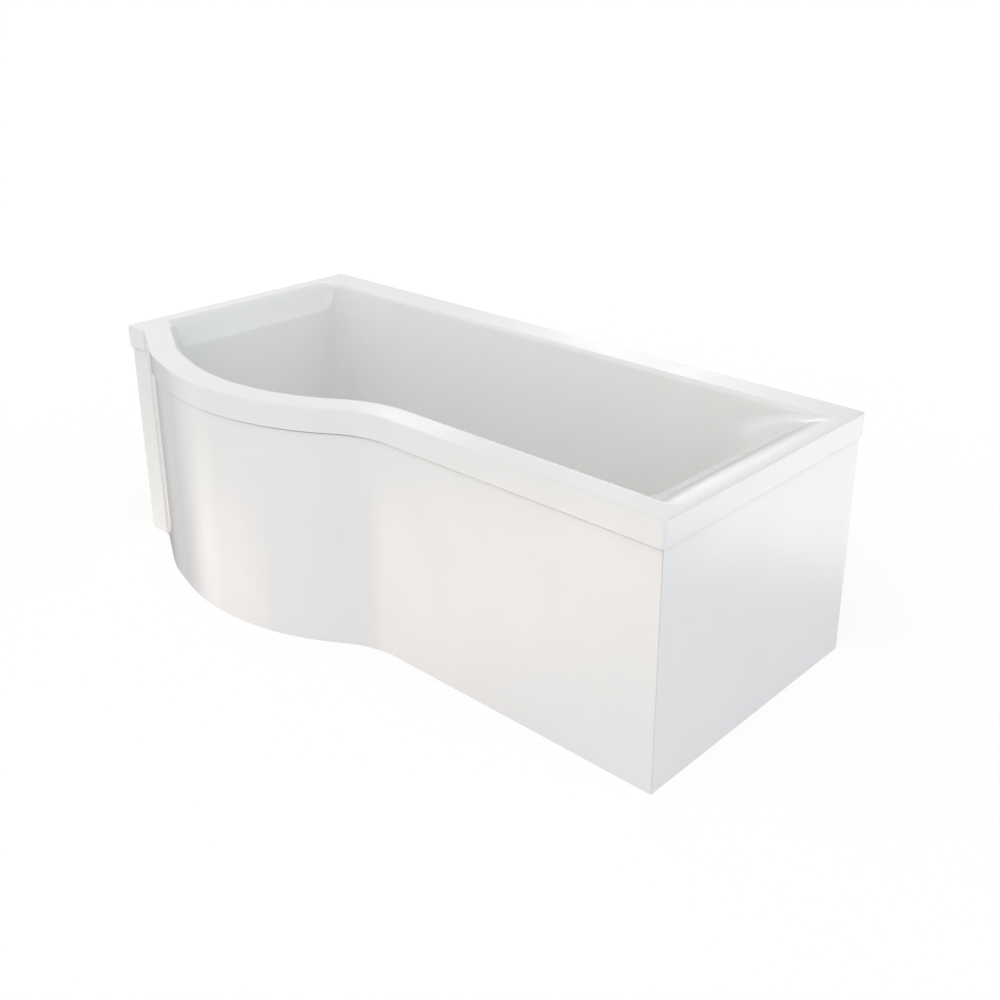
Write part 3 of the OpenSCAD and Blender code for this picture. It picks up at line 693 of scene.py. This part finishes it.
def make_zinc():
    material, tree, bsdf = surface("zinc_plated_steel", (0.74, 0.74, 0.72), 0.3, 1.0)
    stain = noise(tree, 0.02, 4)
    tint(tree, bsdf, stain, (0.74, 0.75, 0.76), (0.70, 0.68, 0.58))
    tree.links.new(spread(tree, stain, 0.22, 0.42), bsdf.inputs["Roughness"])
    relief(tree, bsdf, noise(tree, 0.001), 0.02)
    return material


def make_chrome():
    material, tree, bsdf = surface("chrome", (0.88, 0.89, 0.9), 0.05, 1.0)
    smear = noise(tree, 0.03, 4)
    tint(tree, bsdf, smear, (0.89, 0.9, 0.91), (0.84, 0.85, 0.87))
    tree.links.new(spread(tree, smear, 0.03, 0.1), bsdf.inputs["Roughness"])
    relief(tree, bsdf, noise(tree, 0.012, 2), 0.01)
    return material


def make_moulded(name, light, dark, roughness, grain):
    """Moulded plastic or rubber, with a fine grain of a depth in millimetres."""
    material, tree, bsdf = surface(name, light, roughness)
    cloud = noise(tree, 0.04)
    tint(tree, bsdf, cloud, light, dark)
    tree.links.new(spread(tree, cloud, roughness - 0.06, roughness + 0.08), bsdf.inputs["Roughness"])
    relief(tree, bsdf, noise(tree, 0.0012, 2), grain)
    return material


acrylic = make_acrylic()
glass_fibre = make_glass_fibre()
chipboard = make_chipboard()
timber_along_x = make_timber("timber_along_x", 0)
timber_along_y = make_timber("timber_along_y", 1)
galvanised = make_galvanised()
zinc = make_zinc()
chrome = make_chrome()
black_plastic = make_moulded("black_plastic", (0.035, 0.035, 0.036), (0.022, 0.022, 0.023), 0.5, 0.05)
rubber = make_moulded("rubber", (0.03, 0.03, 0.03), (0.02, 0.02, 0.02), 0.8, 0.08)
white_plastic = make_moulded("white_plastic", (0.8, 0.8, 0.78), (0.75, 0.75, 0.73), 0.35, 0.02)
grey_plastic = make_moulded("grey_plastic", (0.36, 0.37, 0.38), (0.3, 0.31, 0.32), 0.4, 0.03)

# ---- Shell ----

# The rim's rounded lower edge: distance in from its face, and height from its foot
RIM_FOOT = ((1.5, 0), (0.45, 0.45), (0, 1.5))
EDGE_STEP = 15  # degrees
hole_reach = 40  # length of the cutter for the overflow's hole


def make_shell():
    rows = [rim_row(d, skirt_z + rise) for d, rise in RIM_FOOT]
    for a in range(0, 91, EDGE_STEP):
        rows.append(rim_row(edge_r * (1 - cos(a)), rim_h - edge_r * (1 - sin(a))))
    rows += deck_rows()
    rows += [tub_row(d) for d in LIP_DEPTHS + WALL_DEPTHS + FLOOR_DEPTHS]
    rows += floor_rows(rows[-1])
    piece = mesh_object("shell", joined(rows), grid_faces(rows, True))
    finish_piece(piece, (acrylic, glass_fibre), "bath_shell")
    solidify(piece, shell_t, 1)
    apply_modifiers(piece)
    cut_hole(piece, OVERFLOW, overflow_hole_r, hole_reach)
    keep_edges(piece, SHEET_CREASE)
    weigh_normals(piece)


# ---- Panels ----

near_corner_turn = 51  # degrees that the front panel turns round the corner to the end panel
NEAR_CORNER_STEPS = 8
panel_bevel = 0.9


def front_path(d):
    """The front panel's run: a short return at the shower end, the bulge and the straight front."""
    shower, strip, front, rest = (moved(s, d) for s in (SHOWER, STRIP, FRONT, REST))
    r = max(corner_r - d, 1)
    corner = meet(moved(front, r), moved(rest, r))
    return (
        [Vector((shower_x + d, front_y + panel_inset + panel_t + flange_w))]
        + fillet(shower, strip, r, CORNER_STEPS)
        + front_arcs(d)
        + arc(corner, r, 0, near_corner_turn, NEAR_CORNER_STEPS)
    )


def make_front_panel():
    # How far each row lies in from the panel's face, and its height
    levels = [
        (0.8, 0), (0.2, 0.2), (0, 0.8), (0, panel_h / 2),
        (0, panel_h - 1), (0.3, panel_h - 0.3), (1, panel_h),
    ]
    rows = [[(p.x, p.y, z) for p in front_path(panel_inset + d)] for d, z in levels]
    piece = mesh_object("curved_panel", joined(rows), grid_faces(rows, False))
    finish_piece(piece, (acrylic,), "front_panel")
    solidify(piece, panel_t, 0)
    apply_modifiers(piece)
    keep_edges(piece, SHEET_CREASE)
    weigh_normals(piece)


def make_end_panel():
    low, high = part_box("end_panel")
    middle = (low + high) / 2
    mesh = bmesh.new()
    bmesh.ops.create_cube(mesh, size=1)
    for vertex in mesh.verts:
        vertex.co = Vector(a * b for a, b in zip(vertex.co, high - low)) + middle
    bmesh.ops.bevel(
        mesh, geom=mesh.edges[:], offset=panel_bevel * MM, segments=3, profile=0.5,
        affect="EDGES", clamp_overlap=True,
    )
    data = bpy.data.meshes.new("flat_panel")
    mesh.to_mesh(data)
    mesh.free()
    piece = as_object("flat_panel", data)
    finish_piece(piece, (acrylic,), "end_panel")
    weigh_normals(piece)


# ---- Turned, threaded and ribbed pieces ----


def lathe(name, profile, place, sides, reach=None):
    """A profile of (radius, height) turned about +Z, closed at both ends.

    Where it is given, reach(radius, height, angle) changes the radius.
    """
    rows = []
    for r, z in profile:
        row = []
        for k in range(sides):
            a = 360 * k / sides
            radius = reach(r, z, a) if reach else r
            row.append(place @ Vector((radius * cos(a), radius * sin(a), z)))
        rows.append(row)
    return mesh_object(name, joined(rows), grid_faces(rows, True) + end_caps(len(rows), sides))


def end_caps(count, n):
    return [tuple(reversed(range(n))), tuple(range((count - 1) * n, count * n))]


ROUND_SHARE = 0.45  # the most of a side that one rounding may take


def rounded(corners, r, steps=4):
    """The profile through the corners, each inner one cut by a short curve that starts r from it."""
    line = [Vector(p) for p in corners]
    out = [line[0]]
    for before, corner, after in zip(line, line[1:], line[2:]):
        reach = min(r, ROUND_SHARE * (corner - before).length, ROUND_SHARE * (after - corner).length)
        start = corner + (before - corner).normalized() * reach
        end = corner + (after - corner).normalized() * reach
        for k in range(steps + 1):
            t = k / steps
            out.append((1 - t) ** 2 * start + 2 * t * (1 - t) * corner + t * t * end)
    return out + [line[-1]]


def standing(node):
    """Middle of a node's foot, in millimetres, and its height."""
    low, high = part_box(node)
    middle = (low + high) / 2 / MM
    return Matrix.Translation((middle.x, middle.y, low.z / MM)), (high.z - low.z) / MM


THREAD_PITCH = 2.0
THREAD_DEPTH = 0.75
THREAD_ROWS = 5
STUD_SIDES = 20
STUD_TIP_R = 3.6
STUD_TIP_SLOPE = 0.9


def make_stud(node, body):
    """A threaded stud whose two ends taper."""
    place, height = standing(node)
    steps = int(height / THREAD_PITCH * THREAD_ROWS)

    def crest(radius, z, a):
        turn = (z / THREAD_PITCH - a / 360) % 1
        return radius - THREAD_DEPTH * abs(2 * turn - 1)

    heights = [height * k / steps for k in range(steps + 1)]
    profile = [(min(stud_r, STUD_TIP_R + STUD_TIP_SLOPE * min(z, height - z)), z) for z in heights]
    piece = lathe(node.replace("stud", "threaded_rod"), profile, place, STUD_SIDES, crest)
    finish_piece(piece, (zinc,), node, body)


PAD_RIBS = 8
PAD_SIDES = 96
RIB_SHARE = 0.12  # a rib's width as a share of the ribs' spacing
RIB_LOW = 8
RIB_HIGH = 21
RIB_LOW_R = 25
RIB_HIGH_R = 11.6
SOCKET_R = 11
# Radius and height: the foot's underside, its rounded edge, the cone, the socket's top and its bore
PAD_PROFILE = [
    (1, 1.5), (22, 1.5), (24, 0), (27.2, 0), (28, 1), (28, 5.2), (27, 6.4), (26, 7), (25, 8), (20, 9.6),
    (16, 11), (14, 12.2), (13, 15), (12.2, 18), (11.4, 21), (10.6, 22), (5.2, 22), (5.0, 10), (1, 10),
]


def make_pad(node, body):
    """A foot with ribs from its edge up to its socket."""

    def gusset(radius, z, a):
        near = min(abs((a * PAD_RIBS / 360) % 1 - 0.5) * -2 + 1, RIB_SHARE) / RIB_SHARE
        if not RIB_LOW - 1 < z < RIB_HIGH or radius < SOCKET_R:
            return radius
        rib_r = mix(RIB_LOW_R, RIB_HIGH_R, (z - RIB_LOW) / (RIB_HIGH - RIB_LOW))
        return mix(max(radius, rib_r), radius, near)

    place, _ = standing(node)
    piece = lathe(node.replace("pad", "foot"), PAD_PROFILE, place, PAD_SIDES, gusset)
    finish_piece(piece, (black_plastic,), node, body)
    keep_edges(piece, TURNED_CREASE)


WASTE_SIDES = 72
seat_z = floor_z - recess_h
SEAT = Matrix.Translation((*waste, seat_z))
waste_bore_r = 17
tip_r = 0.6  # radius of the flat spot in the middle of a turned piece


def make_waste_ring():
    flange_r, thread_r, neck_z, flange_h, step_h = recess_r - 3, 22, -34, 4, 1.2
    ring = rounded([
        (waste_bore_r, neck_z), (thread_r, neck_z), (thread_r, 0), (flange_r, 0),
        (flange_r, 1.5), (flange_r - 3, flange_h), (flange_r - 5, flange_h),
        (flange_r - 7.5, step_h), (waste_bore_r, step_h),
    ], 1.2)
    angles = [360 * k / WASTE_SIDES for k in range(WASTE_SIDES)]
    rows = [[SEAT @ Vector((r * cos(a), r * sin(a), z)) for a in angles] for r, z in ring]
    rows.append(rows[0])
    piece = mesh_object("waste_ring", joined(rows), grid_faces(rows, True))
    finish_piece(piece, (chrome,), "waste_flange")
    keep_edges(piece, TURNED_CREASE)


def make_plug():
    """The plug's stem, its guide and its cap, with a dome that is steepest at its edge."""
    low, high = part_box("waste_plug")
    foot_z, top_z = low.z / MM - seat_z, high.z / MM - seat_z
    stem_r, cap_r, guide_z, cap_z, dome_z = 4, 27.5, -5, 1.5, 5.5
    dome_r = cap_r - 2.5
    cap = rounded([
        (tip_r, foot_z), (stem_r, foot_z), (stem_r, guide_z), (waste_bore_r - 2, guide_z),
        (waste_bore_r - 1, cap_z), (cap_r - 0.5, cap_z), (cap_r, 3.2), (dome_r, dome_z),
    ], 0.9)
    dome = [(mix(dome_r, tip_r, sin(a)), mix(dome_z, top_z, sin(a) ** 0.5)) for a in range(6, 91, 6)]
    piece = lathe("pop_up_plug", cap + dome, SEAT, WASTE_SIDES)
    finish_piece(piece, (chrome,), "waste_plug", "plug")
    keep_edges(piece, TURNED_CREASE)


KNOB_GRIPS = 8
KNOB_SIDES = 160


def make_knob():
    """The turning control on its spindle, with hollows for the fingers round its edge."""
    knob_r, knob_h, lift, spindle_r, spindle_back = 28, 14, 11, 4, 14
    grip_r, grip_in = 8, 33
    top = lift + knob_h

    def scallop(radius, z, a):
        if z < lift:
            return radius
        off = (a * KNOB_GRIPS / 360 % 1 - 0.5) * 360 / KNOB_GRIPS
        side = grip_in * sin(off)
        if abs(side) >= grip_r:
            return radius
        return min(radius, grip_in * cos(off) - math.sqrt(grip_r ** 2 - side ** 2))

    profile = rounded([
        (tip_r, -spindle_back), (spindle_r, -spindle_back), (spindle_r, lift), (knob_r - 1, lift),
        (knob_r, lift + 2), (knob_r, top - 3), (knob_r - 3, top), (16, top),
        (14, top - 1), (tip_r, top - 1.6),
    ], 1.4)
    piece = lathe("turning_control", profile, OVERFLOW, KNOB_SIDES, scallop)
    finish_piece(piece, (chrome,), "overflow_knob", "overflow_control")
    keep_edges(piece, TURNED_CREASE)


HOSE_PITCH = 5.0
HOSE_ROWS = 6
HOSE_CUFF = 26
HOSE_RIB = 1.8
HOSE_SIDES = 24
HOSE_TOP = 27  # how far below the overflow's middle the hose starts
HOSE_PLAY = 0.05  # keeps the hose clear of the pieces that it fits in


def make_hose():
    """The ribbed overflow hose: a drop, a bend and a level run into the waste body."""
    level = Vector((waste[0] - OVERFLOW_OUT.x, waste[1] - OVERFLOW_OUT.y, 0))
    run = level.length - inlet_len - bend_r
    level.normalize()
    up = Vector((0, 0, 1))
    across = level.cross(up)
    bend_start = Vector((OVERFLOW_OUT.x, OVERFLOW_OUT.y, inlet_z + bend_r))
    drop = overflow_z - HOSE_TOP - inlet_z - bend_r
    quarter = bend_r * math.pi / 2
    total = drop + quarter + run
    steps = int(total / HOSE_PITCH * HOSE_ROWS)
    angles = [360 * k / HOSE_SIDES for k in range(HOSE_SIDES)]
    rows = []
    for k in range(steps + 1):
        s = total * k / steps
        turn = clamped((s - drop) / quarter) * 90
        centre = bend_start + bend_r * (level * (1 - cos(turn)) - up * sin(turn))
        centre += up * max(drop - s, 0) + level * max(s - drop - quarter, 0)
        out = level * cos(turn) + up * sin(turn)
        r = pipe_r - HOSE_PLAY
        if min(s, total - s) >= HOSE_CUFF:
            r -= HOSE_RIB * (0.5 - 0.5 * cos(360 * s / HOSE_PITCH))
        rows.append([centre + r * (cos(a) * across + sin(a) * out) for a in angles])
    faces = grid_faces(rows, True) + end_caps(len(rows), len(rows[0]))
    piece = mesh_object("overflow_hose", joined(rows), faces)
    finish_piece(piece, (grey_plastic,), "overflow_pipe")


FEET = ("shower_back", "shower_front", "middle", "rest_back", "rest_front")

make_shell()
make_front_panel()
make_end_panel()
make_waste_ring()
make_plug()
make_knob()
make_hose()
for foot in FEET:
    make_stud("stud_" + foot, "foot_" + foot)
    make_pad("pad_" + foot, "foot_" + foot)

# ---- Nodes that stay: their materials and small bevels ----

DRESSED = (
    (acrylic, 0.5, ("front_panel_strip", "end_panel_strip")),
    (chipboard, 0.6, ("baseboard",)),
    (timber_along_x, 1.2, (
        "rim_batten_back", "rim_batten_front", "floor_batten_front", "floor_block_shower",
    )),
    (timber_along_y, 1.2, ("rim_batten_shower", "rim_batten_rest", "floor_batten_end")),
    (galvanised, 0.4, (
        "leg_rail_shower", "leg_rail_rest", "middle_foot_bracket", "wall_brackets", "panel_clips",
    )),
    (zinc, 0.5, ("rail_screws", "lock_nuts", "bracket_screws")),
    (chrome, 0.5, ("overflow_face",)),
    (rubber, 0.4, ("waste_gasket", "overflow_gasket")),
    (white_plastic, 0.8, ("waste_body", "waste_nut", "trap", "overflow_body")),
)


WELD_GAP = 0.01
BEVEL_TURN = 40


def dress(node, material, width):
    """Give a node its material, and a bevel of this width on its sharp edges."""
    obj = nodes[node]
    obj.material_slots[0].material = material
    weld = obj.modifiers.new("weld", "WELD")
    weld.merge_threshold = WELD_GAP * MM
    bevel = obj.modifiers.new("bevel", "BEVEL")
    bevel.width = width * MM
    bevel.segments = 2
    bevel.limit_method = "ANGLE"
    bevel.angle_limit = math.radians(BEVEL_TURN)
    bevel.use_clamp_overlap = True
    bevel.harden_normals = True


for material, width, names in DRESSED:
    for name in names:
        dress(name, material, width)

# ---- Light, floor and background ----


def light_paths(tree):
    return add(tree, "LightPath", {}).outputs


def total_of(tree, first, second, operation="ADD"):
    return add(tree, "Math", {0: first, 1: second}, operation=operation).outputs[0]


def smooth_share(tree, source, gone, full):
    """Rises smoothly from 0, where the source is at gone, to 1, where it is at full."""
    inputs = {"Value": source, "From Min": gone, "From Max": full, "To Min": 0, "To Max": 1}
    return add(tree, "MapRange", inputs, interpolation_type="SMOOTHSTEP").outputs[0]


def add_up(tree, shaders):
    lit = shaders[0]
    for shader in shaders[1:]:
        lit = add(tree, "AddShader", {0: lit, 1: shader}).outputs[0]
    return lit


FLOOR_HALF = 200
FLOOR_GLOW = 1.1
FLOOR_WHITE = 0.72  # the share of glow in what the camera sees, where the rest shows the shadow


def make_floor():
    mesh = bpy.data.meshes.new("floor")
    h = FLOOR_HALF
    mesh.from_pydata([(-h, -h, 0), (h, -h, 0), (h, h, 0), (-h, h, 0)], [], [(0, 1, 2, 3)])
    floor = bpy.data.objects.new("floor", mesh)
    bpy.context.scene.collection.objects.link(floor)
    material = bpy.data.materials.new("floor")
    material.use_nodes = True
    tree = material.node_tree
    tree.nodes.clear()
    paths = light_paths(tree)
    seen = total_of(tree, paths["Is Camera Ray"], paths["Is Transmission Ray"], "MAXIMUM")
    diffuse = add(tree, "BsdfDiffuse", {"Color": (0.9, 0.9, 0.9, 1)}).outputs[0]
    glow = add(tree, "Emission", {"Color": (1, 1, 1, 1), "Strength": FLOOR_GLOW}).outputs[0]
    white_share = total_of(tree, seen, FLOOR_WHITE, "MULTIPLY")
    lit = add(tree, "MixShader", {0: white_share, 1: diffuse, 2: glow}).outputs[0]
    clear = add(tree, "BsdfTransparent", {}).outputs[0]
    lit = add(tree, "MixShader", {0: paths["Is Glossy Ray"], 1: lit, 2: clear}).outputs[0]
    add(tree, "OutputMaterial", {"Surface": lit})
    floor.data.materials.append(material)


# The studio's soft light and its lights in the gloss: bearing and height in degrees, the angles from
# there at which a light starts to fade and has gone, its colour, and the rays that meet it
LOBES = (
    (0, 90, 179, 180, (0.43, 0.43, 0.38), "soft"),  # the whole studio
    (180, 20, 5, 75, (0.37, 0.38, 0.36), "soft"),  # front
    (135, 20, 5, 75, (0.50, 0.48, 0.56), "soft"),  # front right
    (270, 20, 5, 75, (0.43, 0.46, 0.50), "soft"),  # left
    (40, 15, 5, 60, (0.47, 0.58, 0.68), "soft"),  # behind the backrest end
    (-36, 16, 0.5, 4, (0.29, 0.34, 0.23), "shine"),  # the brightest spot behind
    (-35, 17.5, 2, 12, (0.72, 0.68, 0.57), "shine"),  # round the small light behind
    (0, -90, 88, 94, (0.29, 0.25, 0.26), "shine"),  # all below the horizon
    (-47.4, 21.4, 0.5, 3, (0.75, 0.73, 0.79), "shine"),  # the middle of the small light on the left
    (-33.5, 18.6, 0.5, 3.5, (0.50, 0.50, 0.57), "shine"),  # beside the small light behind
    (0, 90, 60, 95, (0.98, 0.96, 1.05), "shine"),  # the ceiling
    (-68, 15, 8, 30, (0.64, 0.60, 0.59), "shine"),  # left
    (-47.5, 21.5, 1, 5, (0.28, 0.31, 0.16), "shine"),  # a small light on the left
    (-37, 18, 1.5, 7, (0.14, 0.14, 0.28), "shine"),  # a small light behind
)

# Upright reflectors in the gloss: two bearings, two heights, the blur of the sides and of the ends,
# and the colour
PANES = (
    ((203, 230), (-33, -26), 1.5, 3, (0.59, 0.35, 0.16)),  # low in front
    ((215, 247), (-30, -24), 3, 3, (0.53, 0.35, 0.24)),  # in front
    ((234, 247), (-29, -20), 1.5, 3, (0.37, 0.49, 0.31)),  # front left
    ((18, 42), (-27, -8), 3, 2, (1.52, 1.54, 1.59)),  # behind the backrest end
    ((203, 254), (-33, -24), 2, 3, (0.71, 0.49, 0.52)),  # low, all along the front
    ((310, 620), (-85, 0), 8, 3, (0.40, 0.36, 0.44)),  # below the horizon, but for the left
    ((-39.5, -36.5), (9, 18), 1.2, 1.5, (0.71, 0.70, 0.74)),  # a slot behind
    ((-39, -34), (18, 26), 1.5, 2, (0.25, 0.20, 0.12)),  # above the slot
)


def towards(bearing, height):
    """The direction at a bearing, clockwise from +Y, and a height above the horizon."""
    return (sin(bearing) * cos(height), cos(bearing) * cos(height), sin(height))


def lobe_share(tree, direction, bearing, height, full, gone):
    """A round light: 1 within the full angle of its middle, and 0 past the gone angle."""
    middle = towards(bearing, height)
    along = add(tree, "VectorMath", {0: direction, 1: middle}, operation="DOT_PRODUCT")
    return smooth_share(tree, along.outputs["Value"], cos(gone), cos(full))


def pane_share(tree, direction, bearings, heights, side, end):
    """An upright light between two bearings and two heights, with blurred sides and ends."""
    level = add(tree, "VectorMath", {0: direction, 1: (1, 1, 0)}, operation="MULTIPLY").outputs[0]
    level = add(tree, "VectorMath", {0: level}, operation="NORMALIZE").outputs[0]
    half = (bearings[1] - bearings[0]) / 2
    across = lobe_share(tree, level, bearings[0] + half, 0, half - side, half + side)
    height = add(tree, "SeparateXYZ", {0: direction}).outputs[2]
    above = smooth_share(tree, height, sin(heights[0] - end), sin(heights[0] + end))
    below = smooth_share(tree, height, sin(heights[1] + end), sin(heights[1] - end))
    return total_of(tree, total_of(tree, above, below, "MULTIPLY"), across, "MULTIPLY")


def make_world():
    world = bpy.data.worlds.new("studio")
    bpy.context.scene.world = world
    world.use_nodes = True
    tree = world.node_tree
    tree.nodes.clear()
    paths = light_paths(tree)
    shiny = paths["Is Glossy Ray"]
    rays = {"shine": shiny, "soft": total_of(tree, 1, shiny, "SUBTRACT")}
    direction = add(tree, "TexCoord", {}).outputs["Generated"]
    lights = [
        (lobe_share(tree, direction, bearing, height, full, gone), colour, kind)
        for bearing, height, full, gone, colour, kind in LOBES
    ]
    lights += [(pane_share(tree, direction, *pane), colour, "shine") for *pane, colour in PANES]
    lit = []
    for share, colour, kind in lights:
        strength = total_of(tree, share, rays[kind], "MULTIPLY")
        lit.append(add(tree, "Background", {"Color": (*colour, 1), "Strength": strength}).outputs[0])
    white = add(tree, "Background", {"Color": (1, 1, 1, 1), "Strength": 1}).outputs[0]
    seen = total_of(tree, paths["Is Camera Ray"], paths["Is Transmission Ray"], "MAXIMUM")
    blend = add(tree, "MixShader", {0: seen, 1: add_up(tree, lit), 2: white})
    add(tree, "OutputWorld", {"Surface": blend.outputs[0]})


make_floor()
make_world()
